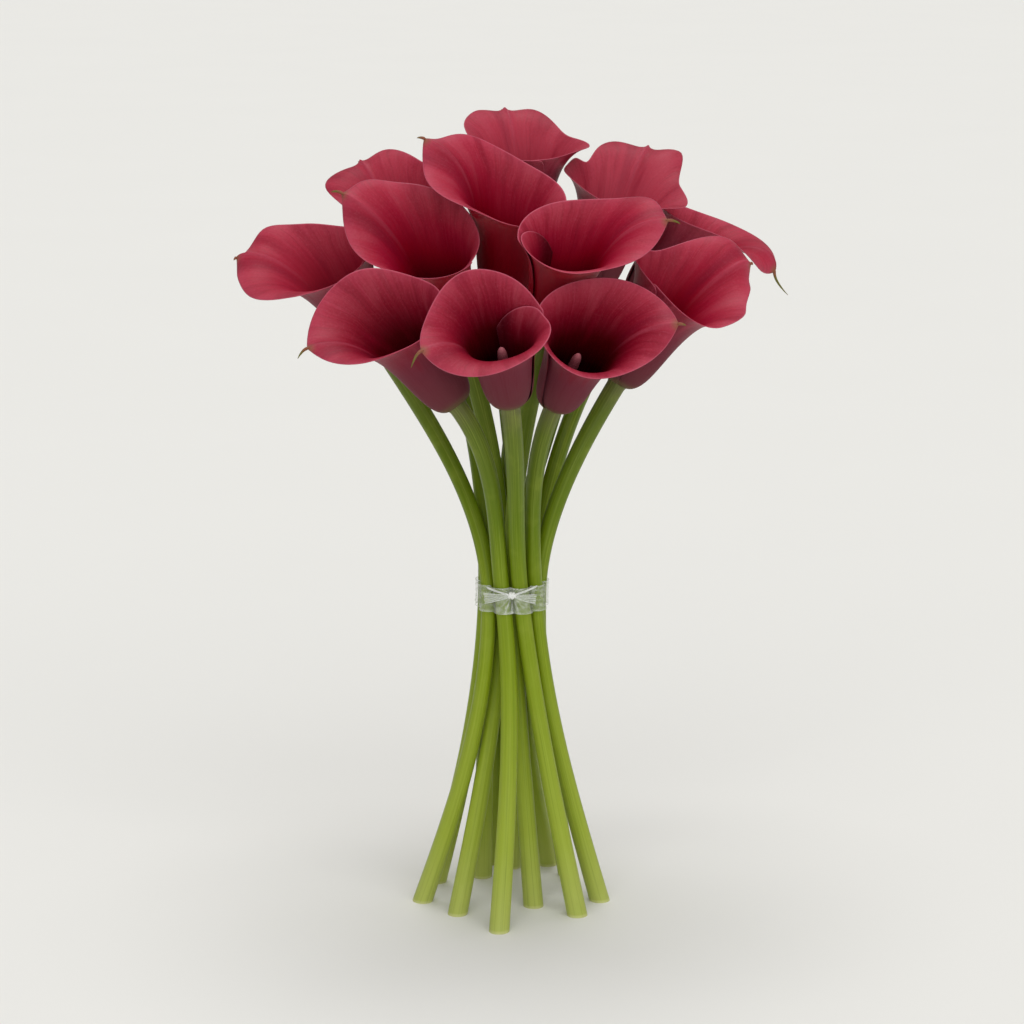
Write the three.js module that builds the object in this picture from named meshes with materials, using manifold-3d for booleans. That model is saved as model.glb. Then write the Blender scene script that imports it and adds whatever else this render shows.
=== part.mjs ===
// A bunch of twelve dark calla lilies, held by one film tie, standing on its cut stems.
// Millimetres, +Z up, front toward -Y; the origin is the bottom centre of the bounding box.
import * as THREE from 'three';
import { mergeVertices } from 'three/addons/utils/BufferGeometryUtils.js';
import Module from 'manifold-3d';

const wasm = await Module();
wasm.setup();

// ---- driving dimensions ----------------------------------------------------------------
const TIE_Z = 178; // height of the tie, where the stems are closest
const STEM_RADII = [5.6, 4.7, 4.3, 4.6, 5.2]; // foot, halfway, tie, halfway, under the bloom
const STEM_SIDES = 9;
const SPAN = [0.04, 0.12, 0.27, 0.44, 0.62, 0.8, 1]; // rings of a span, as shares of it from the tie
const OUTER = 14.6; // radius of the ring of nine stems in the tie
const INNER = 5.7; // and of the three within it
const TWIST = 0.0082; // radians the bunch turns for each millimetre of height at the tie

const BLADE = 0.8; // thickness of a spathe
const NECK = 5.6; // radius of a spathe where it grows from its stem
const AROUND = 24; // columns of a spathe, from margin to margin
const CROWD = 1.25; // how much closer the columns are at the tip
const ROWS = [0, 0.04, 0.1, 0.2, 0.42, 0.64, 0.8, 0.92, 1]; // share of the length at each row
const TUBE = 5; // degrees from the axis in the middle of the funnel
const BASE = 76; // degrees from the axis at the neck
const BASE_LENGTH = 7.5; // how fast the neck turns into the funnel
const SIDE = 56; // degrees from the axis of the rim at the sides
const FLARE = 3.4; // how late the funnel turns out into its rim
const WAVE = 3; // degrees of waviness in the rim
const WRAP_OUT = 1.16; // half turns covered by the margin on the outside
const CUT_OUT = 0.85; // share of the length that slants off the outer margin
const LAYER_GAP = 1.2; // how far each margin stands off the middle of the wrap
const BOW_SPAN = 70; // length over which a bloom nods by its bow angle
const DROOP = 0.3; // how far the green tail of a plain spathe hangs, as a share of its length

const BAND_HEIGHT = 14.5;
const FILM = 0.6;
const BAND_GAP = 1.1; // between the stems and the film
const KNOT_Z = 181.7;

// A plain spathe: its lengths at the tip and the front, rim angles, fold at the tip, and how
// its inner margin wraps: half turns covered, share of the length cut off, curl into the mouth.
const PLAIN = {
  length: 112, front: 68, tip: 92, rim: 52, curl: 0, curlWidth: 0.3,
  hand: 1, wrapIn: 1.32, cutIn: 0.75, coil: 0.06,
};

// Each flower: foot on the floor, place in the tie as ring and angle, neck of the bloom,
// compass and lean of its axis, roll of its tip, then the nod as angle and compass.
// Compass angles are in degrees from +X toward +Y. The tail is the length of its green end,
// which droops and swings toward +X by these shares of it.
// A wave of the rim is its place in degrees round the mouth from the tip, how many degrees
// the rim turns out there, by what share it is longer, and its half width in degrees.
const FLOWERS = {
  front_centre: {
    foot: [36, -23], slot: [OUTER, -70], neck: [-1, -56, 293],
    compass: -120, lean: 14, roll: -36, nod: [40, -95], size: 0.77, finger: 47, tail: 5.5, droop: 1.1,
    shape: { length: 108, front: 80, rim: 60, hand: -1, coil: 0.45, wrapIn: 1.4, cutIn: 0.2 },
    waves: [[75, 10, 0.06, 35], [-30, -8, -0.05, 30], [-92, 0, 0.05, 32], [178, -10, -0.14, 35],
      [-182, -10, -0.14, 35]],
  },
  front_left: {
    foot: [-7, -47], slot: [OUTER, -110], neck: [-29, -35, 289],
    compass: 175, lean: 37, roll: 4, nod: [36, -80], size: 0.84, finger: 38, tail: 5, droop: 0.7,
    shape: { length: 106, front: 76 },
    waves: [[30, -14, -0.02, 35], [-45, 6, 0.08, 35], [-90, -4, 0.115, 32]],
  },
  front_right: {
    foot: [49, 0], slot: [OUTER, -30], neck: [22, -26, 286],
    compass: -32, lean: 26, roll: 50, nod: [36, -90], size: 0.83, finger: 45, tail: 3.5,
    shape: { length: 106, front: 72, rim: 55 },
    waves: [[60, 5, 0, 35], [-40, -12, -0.12, 34]],
  },
  far_left: {
    foot: [-50, -1], slot: [OUTER, 210], sway: [0.04, 0], neck: [-71, 52, 303],
    compass: 178, lean: 32, roll: -30, nod: [24, -85], size: 0.9, finger: 38, tail: 2,
    shape: { front: 74, curl: 30 },
    waves: [[-90, -14, -0.08, 50], [72, 25, 0.13, 35], [-28, 5, 0.05, 12]],
  },
  right_low: {
    foot: [32, 41], slot: [OUTER, 10], neck: [57, 8, 293],
    compass: 4, lean: 31, roll: 50, nod: [26, -90], size: 0.9, finger: 38, tail: 2,
    shape: { length: 110, front: 78, rim: 15, curl: 30 },
    waves: [[70, -8, -0.12, 35], [122, 8, 0.06, 20], [20, 6, 0.08, 20], [-8, 0, -0.02, 7],
      [-32, -7, -0.08, 22]],
  },
  mid_left: {
    foot: [-30, -21], slot: [INNER, 150], neck: [-28, 31, 314],
    compass: -170, lean: 19, roll: -56, nod: [36, -90], size: 0.89, finger: 38, tail: 7,
    shape: { tip: 103 },
    waves: [[-17, -2, 0.05, 14], [50, -16, -0.07, 40], [-120, -4, -0.04, 25], [115, -16, 0.1, 45]],
  },
  mid_right: {
    foot: [12, -9], slot: [INNER, -90], neck: [19, -2, 324],
    compass: -30, lean: 16, roll: 42, nod: [26, -90], size: 0.85, finger: 36, tail: 6,
    shape: { tip: 100, wrapIn: 1.4, cutIn: 0.3, coil: 0.25 },
    waves: [[24, 4, 0.08, 16], [62, -10, -0.05, 36], [-40, -10, -0.08, 40], [-95, 6, 0.03, 35]],
  },
  centre_high: {
    foot: [0, 54], slot: [INNER, 30], neck: [-5, 46, 330],
    compass: 0, lean: 2, roll: -198, nod: [28, -80], size: 0.88, finger: 36, tail: 4,
    shape: { front: 80, tip: 100 },
    waves: [[-85, -14, -0.06, 50], [-28, 0, 0.05, 20], [0, 0, 0.04, 10], [55, 5, 0.04, 40]],
  },
  far_right: {
    foot: [21, 58], slot: [OUTER, 50], sway: [0.06, -0.04], neck: [71, 106, 321],
    compass: 0, lean: 38, roll: -15, nod: [8, -90], size: 0.87, finger: 38, tail: 10, swing: 0.8,
    shape: { curl: 80, curlWidth: 0.5 },
    waves: [[30, 10, 0.08, 25], [-60, -20, -0.05, 40]],
  },
  back_right: {
    foot: [-12, 61], slot: [OUTER, 90], neck: [45, 91, 332],
    compass: 0, lean: 15, roll: 75, nod: [8, -90], size: 0.92, finger: 38, tail: 2,
    shape: { curl: 40 },
    waves: [[56, -18, -0.12, 18], [90, -6, 0, 20], [136, 8, 0.1, 28], [-224, 8, 0.1, 28],
      [0, 4, -0.02, 9], [-22, 8, 0.09, 13], [-50, -7, -0.06, 20], [-98, 26, 0.08, 18]],
  },
  back_centre: {
    foot: [-17, 38], slot: [OUTER, 130], neck: [7, 90, 356],
    compass: 90, lean: 4, roll: 15, nod: [10, -90], size: 0.87, finger: 38, tail: 2,
    shape: { curl: 40 },
    waves: [[-60, -8, -0.1, 32], [-106, 24, 0.06, 18], [0, 0, -0.05, 12]],
  },
  back_left: {
    foot: [-43, 30], slot: [OUTER, 170], neck: [-47, 92, 332],
    compass: 180, lean: 22, roll: -75, nod: [12, -90], size: 0.88, finger: 38, tail: 2,
    shape: { curl: 40 },
    waves: [[-60, -8, -0.08, 32], [75, -32, -0.25, 38], [36, 22, 0.12, 14], [0, 0, -0.05, 10]],
  },
};

// ---- materials -------------------------------------------------------------------------
function paint(name, color, roughness) {
  const material = new THREE.MeshStandardMaterial({ color, roughness });
  material.name = name;
  return material;
}

const SPATHE = paint('spathe_crimson', 0x8f1c38, 0.5);
const SPADIX = paint('spadix_rose', 0x9c5a5c, 0.7);
const STEM = paint('stem_green', 0x7c9a3c, 0.45);
const CLEAR = paint('film_clear', 0xe6ece4, 0.15);
CLEAR.transparent = true;
CLEAR.opacity = 0.45;

// ---- helpers ---------------------------------------------------------------------------
const clamp = (x) => Math.min(Math.max(x, 0), 1);
const smooth = (x) => clamp(x) ** 2 * (3 - 2 * clamp(x));
const rad = (degrees) => (degrees * Math.PI) / 180;

function mesh(name, geometry, material) {
  const result = new THREE.Mesh(geometry, material);
  result.name = name;
  return result;
}

function fromTriangles(points, triangles) {
  const geometry = new THREE.BufferGeometry();
  geometry.setAttribute('position', new THREE.Float32BufferAttribute(points.flatMap((p) => p.toArray()), 3));
  geometry.setIndex(triangles);
  geometry.computeVertexNormals();
  return geometry;
}

function toSolid(geometry) {
  const plain = geometry.clone();
  plain.deleteAttribute('normal');
  plain.deleteAttribute('uv');
  const welded = mergeVertices(plain, 1e-4);
  return new wasm.Manifold(new wasm.Mesh({
    numProp: 3,
    vertProperties: new Float32Array(welded.attributes.position.array),
    triVerts: new Uint32Array(welded.index.array),
  }));
}

function fromSolid(solid) {
  const data = solid.getMesh();
  const geometry = new THREE.BufferGeometry();
  geometry.setAttribute('position', new THREE.Float32BufferAttribute(data.vertProperties, 3));
  geometry.setIndex(Array.from(data.triVerts));
  geometry.computeVertexNormals();
  return geometry;
}

function hermite(p0, m0, p1, m1, t) {
  return new THREE.Vector3()
    .addScaledVector(p0, 2 * t ** 3 - 3 * t ** 2 + 1)
    .addScaledVector(m0, t ** 3 - 2 * t ** 2 + t)
    .addScaledVector(p1, -2 * t ** 3 + 3 * t ** 2)
    .addScaledVector(m1, t ** 3 - t ** 2);
}

// A closed round rod along a line of points. With an end axis it is a stem: its first ring
// lies flat on the floor and its last ring squarely across that axis.
function rod(line, radii, sides, endAxis) {
  const points = [];
  const triangles = [];
  line.forEach((centre, i) => {
    const before = line[Math.max(i - 1, 0)];
    const after = line[Math.min(i + 1, line.length - 1)];
    const along = after.clone().sub(before).normalize();
    if (endAxis && i === line.length - 1) {
      along.copy(endAxis);
    }
    const side = along.clone().cross(new THREE.Vector3(0, 1, 0)).normalize();
    const other = along.clone().cross(side);
    for (let k = 0; k < sides; k += 1) {
      const a = (2 * Math.PI * k) / sides;
      const p = centre.clone();
      p.addScaledVector(side, radii[i] * Math.cos(a));
      p.addScaledVector(other, radii[i] * Math.sin(a));
      if (endAxis && i === 0) {
        p.addScaledVector(along, (centre.z - p.z) / along.z);
      }
      points.push(p);
    }
  });
  for (let i = 0; i + 1 < line.length; i += 1) {
    for (let k = 0; k < sides; k += 1) {
      const a = i * sides + k;
      const b = i * sides + ((k + 1) % sides);
      triangles.push(a, b, b + sides, a, b + sides, a + sides);
    }
  }
  const last = (line.length - 1) * sides;
  for (let k = 1; k + 1 < sides; k += 1) {
    triangles.push(0, k + 1, k);
    triangles.push(last, last + k, last + k + 1);
  }
  return fromTriangles(points, triangles);
}

// A closed sheet from a grid of middle points, thickened along its normals.
function sheet(grid, thickness) {
  const across = grid.length;
  const along = grid[0].length;
  const face = (lift) => grid.map((column, i) => column.map((p, j) => {
    const du = grid[Math.min(i + 1, across - 1)][j].clone().sub(grid[Math.max(i - 1, 0)][j]);
    const dv = grid[i][Math.min(j + 1, along - 1)].clone().sub(grid[i][Math.max(j - 1, 0)]);
    return p.clone().addScaledVector(du.cross(dv).normalize(), lift);
  }));
  const points = [...face(thickness / 2).flat(), ...face(-thickness / 2).flat()];
  const far = across * along;
  const at = (i, j) => i * along + j;
  const triangles = [];
  for (let i = 0; i + 1 < across; i += 1) {
    for (let j = 0; j + 1 < along; j += 1) {
      const a = at(i, j);
      const b = at(i + 1, j);
      const c = at(i + 1, j + 1);
      const d = at(i, j + 1);
      triangles.push(a, b, c, a, c, d);
      triangles.push(far + a, far + c, far + b, far + a, far + d, far + c);
    }
  }
  const edge = (a, b) => triangles.push(a, far + a, far + b, a, far + b, b);
  for (let i = 0; i + 1 < across; i += 1) {
    edge(at(i, 0), at(i + 1, 0));
    edge(at(i + 1, along - 1), at(i, along - 1));
  }
  for (let j = 0; j + 1 < along; j += 1) {
    edge(at(0, j + 1), at(0, j));
    edge(at(across - 1, j), at(across - 1, j + 1));
  }
  return fromTriangles(points, triangles);
}

// ---- the placing of one bloom ----------------------------------------------------------
function bloomAxes(flower) {
  const a = rad(flower.compass);
  const b = rad(flower.lean);
  const axis = new THREE.Vector3(Math.sin(b) * Math.cos(a), Math.sin(b) * Math.sin(a), Math.cos(b));
  const level = new THREE.Vector3(Math.cos(b) * Math.cos(a), Math.cos(b) * Math.sin(a), -Math.sin(b));
  const square = axis.clone().cross(level);
  const tip = level.multiplyScalar(Math.cos(rad(flower.roll)));
  tip.addScaledVector(square, Math.sin(rad(flower.roll)));
  return { tip, side: axis.clone().cross(tip), axis };
}

// Bends a point of the bloom about its neck toward the nod and sets it in the bunch.
function placeInBunch(p, flower, axes) {
  const [angle, compass] = flower.nod;
  const toward = new THREE.Vector3(Math.cos(rad(compass)), Math.sin(rad(compass)), 0);
  const heading = Math.atan2(toward.dot(axes.side), toward.dot(axes.tip));
  const radius = BOW_SPAN / rad(angle);
  const s = p.x * Math.cos(heading) + p.y * Math.sin(heading);
  const w = -p.x * Math.sin(heading) + p.y * Math.cos(heading);
  const turn = p.z / radius;
  const s2 = radius - (radius - s) * Math.cos(turn);
  const z2 = (radius - s) * Math.sin(turn);
  return new THREE.Vector3(...flower.neck)
    .addScaledVector(axes.tip, s2 * Math.cos(heading) - w * Math.sin(heading))
    .addScaledVector(axes.side, s2 * Math.sin(heading) + w * Math.cos(heading))
    .addScaledVector(axes.axis, z2);
}

// ---- the spathe ------------------------------------------------------------------------
// One point on the middle of the spathe: u runs from margin to margin, v from neck to rim.
function spathePoint(u, v, flower) {
  const shape = { ...PLAIN, ...flower.shape };
  const inner = u * shape.hand < 0;
  const wrap = inner ? shape.wrapIn : WRAP_OUT;
  const phi = Math.sign(u) * wrap * Math.PI * Math.abs(u) ** CROWD;
  const a = Math.abs(phi) / Math.PI;
  const half = Math.min(a, 1) * Math.PI;
  const over = clamp((a - 1) / (wrap - 1));
  const c = Math.cos(half);
  let full = shape.front + (shape.length - shape.front) * (1 - Math.sin(half / 2) ** 0.75);
  let edge = SIDE + (shape.tip - SIDE) * Math.max(c, 0) ** 2 + (shape.rim - SIDE) * Math.max(-c, 0) ** 2
    + WAVE * Math.sin(3 * phi + 0.6) * Math.sin(half);
  for (const [at, out, longer, wide] of flower.waves) {
    const near = Math.exp(-(((Math.sign(u) * half - rad(at)) / rad(wide)) ** 2));
    edge += out * near;
    full *= 1 + longer * near;
  }
  const reach = v * full * (1 - (inner ? shape.cutIn : CUT_OUT) * over ** 2);
  const fold = shape.curl * Math.exp(-((phi / shape.curlWidth) ** 2));
  let r = NECK / flower.size;
  let z = 0;
  const steps = Math.max(1, Math.ceil(reach / 2.5));
  for (let k = 0; k < steps; k += 1) {
    const l = (reach * (k + 0.5)) / steps;
    const share = l / full;
    const slope = TUBE + (BASE - TUBE) * Math.exp(-l / BASE_LENGTH) + (edge - TUBE) * share ** FLARE
      + fold * share ** 7;
    r += (Math.sin(rad(slope)) * reach) / steps;
    z += (Math.cos(rad(slope)) * reach) / steps;
  }
  r += (inner ? -1 : 1) * LAYER_GAP * smooth((a - 0.55) / 0.6);
  if (inner) {
    r *= 1 - (shape.coil * smooth(over) * reach) / full;
  }
  return new THREE.Vector3(r * Math.cos(phi), r * Math.sin(phi), z).multiplyScalar(flower.size);
}

function makeSpathe(name, flower) {
  const axes = bloomAxes(flower);
  const grid = [];
  for (let i = 0; i <= AROUND; i += 1) {
    const u = (2 * i) / AROUND - 1;
    grid.push(ROWS.map((v) => placeInBunch(spathePoint(u, v, flower), flower, axes)));
  }
  // The green tail carries the tip on and hangs down from it.
  const spine = grid[AROUND / 2];
  const tip = spine[ROWS.length - 1];
  const along = tip.clone().sub(spine[ROWS.length - 2]).normalize();
  const { droop = DROOP, swing = 0 } = flower;
  const line = [-0.45, 0, 0.35, 0.7, 1].map((s) => {
    const p = tip.clone().addScaledVector(along, flower.tail * s);
    p.z -= droop * flower.tail * Math.max(s, 0) ** 2;
    p.x += swing * flower.tail * Math.max(s, 0) ** 2;
    return p;
  });
  const tail = rod(line, [0.5, 0.95, 0.8, 0.6, 0.35], 6, null);
  const solid = toSolid(sheet(grid, BLADE)).add(toSolid(tail));
  return mesh(`spathe_${name}`, fromSolid(solid), SPATHE);
}

function makeSpadix(name, flower) {
  const axes = bloomAxes(flower);
  const length = flower.finger * flower.size;
  const shares = [0, 0.25, 0.5, 0.75, 0.9, 0.97, 1];
  const line = shares.map((s) => placeInBunch(new THREE.Vector3(0, 0, s * length - 0.5), flower, axes));
  return mesh(`spadix_${name}`, rod(line, [3.1, 3.3, 3.2, 2.9, 2.4, 1.6, 0.6], 8, null), SPADIX);
}

// ---- the stems -------------------------------------------------------------------------
function makeStem(name, flower) {
  const axes = bloomAxes(flower);
  const foot = new THREE.Vector3(...flower.foot, 0);
  const [ring, place] = flower.slot;
  const tie = new THREE.Vector3(ring * Math.cos(rad(place)), ring * Math.sin(rad(place)), TIE_Z);
  const top = new THREE.Vector3(...flower.neck);
  const low = tie.clone().sub(foot);
  const high = top.distanceTo(tie);
  const [swayX, swayY] = flower.sway ?? [0, 0];
  const through = new THREE.Vector3(TWIST * tie.y + swayX, -TWIST * tie.x + swayY, 1).normalize();
  const start = low.clone().normalize().multiplyScalar(1.5).addScaledVector(through, -0.5).normalize();
  top.addScaledVector(axes.axis, -0.85);
  const line = [];
  const radii = [];
  const m0 = start.multiplyScalar(low.length());
  const m1 = through.clone().multiplyScalar(low.length());
  const m2 = through.clone().multiplyScalar(high);
  const m3 = axes.axis.clone().multiplyScalar(high);
  for (const t of [...SPAN.map((s) => 1 - s).reverse(), 1, ...SPAN.map((s) => 1 + s)]) {
    line.push(t <= 1 ? hermite(foot, m0, tie, m1, t) : hermite(tie, m2, top, m3, t - 1));
    const k = Math.min(Math.floor(2 * t), 3);
    radii.push(STEM_RADII[k] + (STEM_RADII[k + 1] - STEM_RADII[k]) * (2 * t - k));
  }
  return mesh(`stem_${name}`, rod(line, radii, STEM_SIDES, axes.axis), STEM);
}

// ---- the tie ---------------------------------------------------------------------------
// The film is drawn round the nine outer stems, so it is round at each and flat between.
function bandRing(offset, z) {
  const ring = [];
  const reach = STEM_RADII[2] + BAND_GAP + offset;
  for (let k = 0; k < 9; k += 1) {
    const stem = rad(-110 + 40 * k) - TWIST * (z - TIE_Z);
    for (const turn of [-20, 0, 20]) {
      const a = stem + rad(turn);
      ring.push(new THREE.Vector3(
        OUTER * Math.cos(stem) + reach * Math.cos(a),
        OUTER * Math.sin(stem) + reach * Math.sin(a),
        z,
      ));
    }
  }
  return ring;
}

function makeBand() {
  const low = TIE_Z - BAND_HEIGHT / 2;
  const high = TIE_Z + BAND_HEIGHT / 2;
  const rings = [bandRing(FILM, low), bandRing(FILM, TIE_Z), bandRing(FILM, high),
    bandRing(0, high), bandRing(0, TIE_Z), bandRing(0, low)];
  const count = rings[0].length;
  const triangles = [];
  for (let r = 0; r < rings.length; r += 1) {
    for (let k = 0; k < count; k += 1) {
      const a = r * count + k;
      const b = r * count + ((k + 1) % count);
      const c = ((r + 1) % rings.length) * count + ((k + 1) % count);
      const d = ((r + 1) % rings.length) * count + k;
      triangles.push(a, b, c, a, c, d);
    }
  }
  return fromTriangles(rings.flat(), triangles);
}

// A loose end of the film: turn is how far round the band it reaches, in degrees.
function makeEnd(turn, rise, width) {
  const grid = [-1, 0, 1].map((side) => [0, 0.3, 0.65, 1].map((s) => {
    const a = rad(-90 + turn * s);
    const r = 20.7 + 1.4 * s ** 2 + 0.5 * side * s;
    const z = KNOT_Z + rise * s + side * (0.5 + (width / 2 - 0.5) * s ** 0.8);
    return new THREE.Vector3(r * Math.cos(a), r * Math.sin(a), z);
  }));
  if (turn < 0) {
    grid.reverse();
  }
  return sheet(grid, FILM);
}

function makeTie() {
  const knot = new THREE.SphereGeometry(1, 12, 8);
  knot.scale(2.7, 1.9, 2.1);
  knot.translate(0, -20.4, KNOT_Z);
  let solid = toSolid(makeBand()).add(toSolid(knot));
  for (const [turn, rise, width] of [[-38, 3.6, 1.6], [37, 4.4, 1.6], [-43, -2.6, 6.5], [36, -2.8, 6]]) {
    solid = solid.add(toSolid(makeEnd(turn, rise, width)));
  }
  return mesh('tie_film', fromSolid(solid), CLEAR);
}

// ---- the bunch -------------------------------------------------------------------------
const bunch = new THREE.Group();
bunch.name = 'calla_bunch';
for (const [name, flower] of Object.entries(FLOWERS)) {
  bunch.add(makeStem(name, flower));
  bunch.add(makeSpathe(name, flower));
  bunch.add(makeSpadix(name, flower));
}
bunch.add(makeTie());

const box = new THREE.Box3().setFromObject(bunch);
const middle = box.getCenter(new THREE.Vector3());
for (const piece of bunch.children) {
  piece.geometry.translate(-middle.x, -middle.y, -box.min.z);
}

export default bunch;
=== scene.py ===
import math

import bpy
import numpy as np
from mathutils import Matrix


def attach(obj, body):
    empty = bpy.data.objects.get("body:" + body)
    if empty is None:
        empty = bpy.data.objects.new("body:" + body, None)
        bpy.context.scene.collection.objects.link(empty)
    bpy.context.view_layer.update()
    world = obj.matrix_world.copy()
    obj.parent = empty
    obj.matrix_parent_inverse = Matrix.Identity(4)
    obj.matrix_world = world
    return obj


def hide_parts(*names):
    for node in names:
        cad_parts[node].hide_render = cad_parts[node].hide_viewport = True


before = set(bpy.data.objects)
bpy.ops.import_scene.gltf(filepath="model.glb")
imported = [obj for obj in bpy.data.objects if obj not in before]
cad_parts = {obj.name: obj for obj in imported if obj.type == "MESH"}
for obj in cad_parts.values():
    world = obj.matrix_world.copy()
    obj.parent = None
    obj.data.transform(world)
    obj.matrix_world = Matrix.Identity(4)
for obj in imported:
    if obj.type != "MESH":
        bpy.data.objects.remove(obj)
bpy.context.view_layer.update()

# A bunch of twelve dark calla lilies, held by one film tie, standing on its cut stems.
# Shapes are worked out in millimetres before the bunch is centred, with x to the right, y to
# the back and z up. Compass angles are in degrees from x toward y.
MM = 0.001  # metres
ON_FLOOR = 1e-5  # metres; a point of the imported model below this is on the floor

# ---- driving dimensions of the bunch and its stems -----------------------------------------
TIE_Z = 178.0  # height of the tie, where the stems are closest
OUTER = 14.6  # radius of the ring of nine stems in the tie
INNER = 5.7  # and of the three within it
FIRST_STEM = -110  # compass of one of the nine
STEM_STEP = 40  # degrees from each of the nine to the next
TWIST = 0.0082  # radians the bunch turns for each millimetre of height at the tie
FOOT_BEND = 0.5  # how much a stem bends between its foot and the tie
STEM_RADII = [5.6, 4.7, 4.3, 4.6, 5.2]  # foot, halfway, tie, halfway, under the bloom
STEM_RINGS = 61  # rings from the foot to the tie, and again from the tie to the bloom
STEM_SIDES = 44
# faint ridges of a stem: height, how many go round, and radians they turn on the way up
RIDGES = ((0.10, 2, 2), (0.05, 3, -3), (0.03, 11, 1.5))
RIDGE_SINK = 0.1  # how much slimmer a ridged stem is on average
RIDGE_SEED = 100  # and the number of the stem
TOP_SPREAD = 0.1  # added to a spathe's neck for the top of its stem, which closes the neck

# ---- driving dimensions of a bloom ---------------------------------------------------------
NECK = 5.6  # radius of a spathe where it grows from its stem
TUBE = 5.0  # degrees from the axis in the middle of the funnel
BASE = 76.0  # degrees from the axis at the neck
BASE_LENGTH = 7.5  # how fast the neck turns into the funnel
SIDE = 56.0  # degrees from the axis of the rim at the sides
FLARE = 3.4  # how late the funnel turns out into its rim
CURL_LATE = 7  # how late the tip folds back
TIP_POINT = 0.75  # lower gives a more pointed tip
WAVE = 3.0  # degrees of waviness in the rim
WAVE_COUNT = 3
WAVE_START = 0.6  # radians
WRAP_OUT = 1.16  # half turns covered by the margin on the outside
CUT_OUT = 0.85  # share of the length that slants off the outer margin
LAYER_GAP = 1.2  # how far each margin stands off the middle of the wrap
LAYER_FROM = 0.55  # half turns from the tip to where the margins start to part
LAYER_OVER = 0.6  # half turns over which they part
BOW_SPAN = 70.0  # length over which a bloom nods by its bow angle

SPATHE_COLS = 128
SPATHE_ROWS = 52
CROWD = 1.25  # how much closer the columns are at the tip
ROW_EASE = 0.45  # how much closer the rows are at the neck and the rim
NECK_ROWS = 0.25  # share of the rows that are at the neck
NECK_EVEN = 0.1  # how much more evenly those are spaced
FINE = 4  # steps of the slope for each row
HALF_BLADE = 0.30  # half the thickness of a spathe
RIM_THINNER = 0.14  # what the rim lacks of that
THIN_LATE = 6  # how late a spathe gets thinner
RIB_HEIGHT = 0.28
RIB_WIDTH = 0.045  # radians
RIB_FROM = 0.45  # share of the length where the midrib starts
RIB_GROWS = 0.4  # share of the length over which it grows

TAIL_ROOT = 0.45  # share of the tail that starts back inside the tip
TAIL_SHARES = [-TAIL_ROOT, 0.0, 0.3, 0.7, 1]
TAIL_RADII = [0.2, 0.9, 0.75, 0.5, 0.12]
TAIL_AIM = 6  # rows back from the tip to the point that gives the tail its direction
TAIL_RINGS = 15
TAIL_SIDES = 10
PAST_RIM = 5  # the tail's distance from the rim, past the reach of the pale edge
PAST_NECK = 60  # and from the neck, past the reach of its green flush

SPADIX_SHARES = [0, 0.25, 0.5, 0.75, 0.88]
SPADIX_RADII = [3.0, 3.15, 3.05, 2.75, 2.45]
SPADIX_RINGS = 97
SPADIX_SIDES = 56
SPADIX_ROOT = 0.4  # how far it starts below the neck of its spathe
SPADIX_ROUND = 0.86  # share of the length where its end starts to round off
SPADIX_END = 0.004  # the least that the rounding leaves of the radius squared
FLORET_PITCH = 0.95  # from each row of florets to the next
FLORETS_ROUND = 14
FLORET_HEIGHT = 0.2
FLORET_BLUNT = 0.7  # lower is a blunter floret
FLORETS_STOP = 0.985  # share of the length where the florets end
FLORETS_FADE = 12  # how fast they get lower before that

# ---- driving dimensions of the film tie ----------------------------------------------------
BAND_HEIGHT = 14.5
BAND_GAP = 1.1  # between the stems and the film
BAND_MIDDLE = 0.28  # from that gap to the middle of the film
BAND_THICK = 0.18
BAND_COLS = 361
BAND_ROWS = 25
BAND_RADIUS = 19  # near that of the film, to measure along it
EDGE_HAZE = 0.5  # how far the haze of its edges reaches
RAYS = 9  # creases that run from the knot to each side
RAYS_REACH = 0.75  # radians round the band
BAND_HAZE = dict(plain=0.10, creases=0.16, edges=0.3, rays=0.35)
FILM_SEED = 7
CREASES = 26
CREASE_SLANT = 12  # how much faster a crease turns round the band than up it
CREASE_HEIGHT = 0.06
CREASE_LIFT = 0.05  # moves the creased film out, so that it stays clear of the stems
CREASE_HAZE = 0.35  # how strongly a crease shows in the haze
RAY_THIN = 6  # higher is a thinner ray
END_THICK = 0.16
END_COLS = 40
END_ROWS = 15
# loose ends: degrees each reaches round the band, rise, width and haze;
# two narrow bright ones go up, two wide clear ones go down
LOOSE_ENDS = ((-38, 3.6, 1.6, 0.75), (37, 4.4, 1.6, 0.75),
              (-43, -2.6, 6.5, 0.22), (36, -2.8, 6.0, 0.22))
END_RADIUS = 20.75  # of the loose ends at the knot
END_LIFT = 1.3  # how much further out they are at their tips
END_TILT = 0.5  # how far the tips lean, out at the top and in at the bottom
END_FOLD = 0.22  # height of their folds
END_PLEATS = 7  # radians of the folds from the middle to a side
END_SLANT = 3  # and from the knot to the tip, which slants them
FOLD_THIN = 5  # higher is a thinner line of haze on a fold
END_ROOT = 0.45  # half width at the knot
END_TRIM = 0.1  # what half their width lacks at the tip
END_WIDENS = 0.8  # lower widens sooner
END_HAZE = dict(sides=0.5, folds=0.4, root=0.5)
END_SIDE = 0.9  # share of the half width where the haze of the sides starts
ROOT_FADE = 9  # how fast the haze at the knot fades
KNOT_Z = 181.7
KNOT_Y = -20.6
KNOT_SIZE = (2.3, 1.55, 1.75)  # half sizes along x, y and z
KNOT_RINGS = 28
KNOT_SIDES = 56
KNOT_POLE = 0.02  # radians from a pole to the first ring
KNOT_FOLDS = 7
KNOT_FOLD = 0.12  # height of a fold as a share of the size
KNOT_PINCH = 0.10  # how much the poles are drawn in and the middle stands out, as a share

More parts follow.
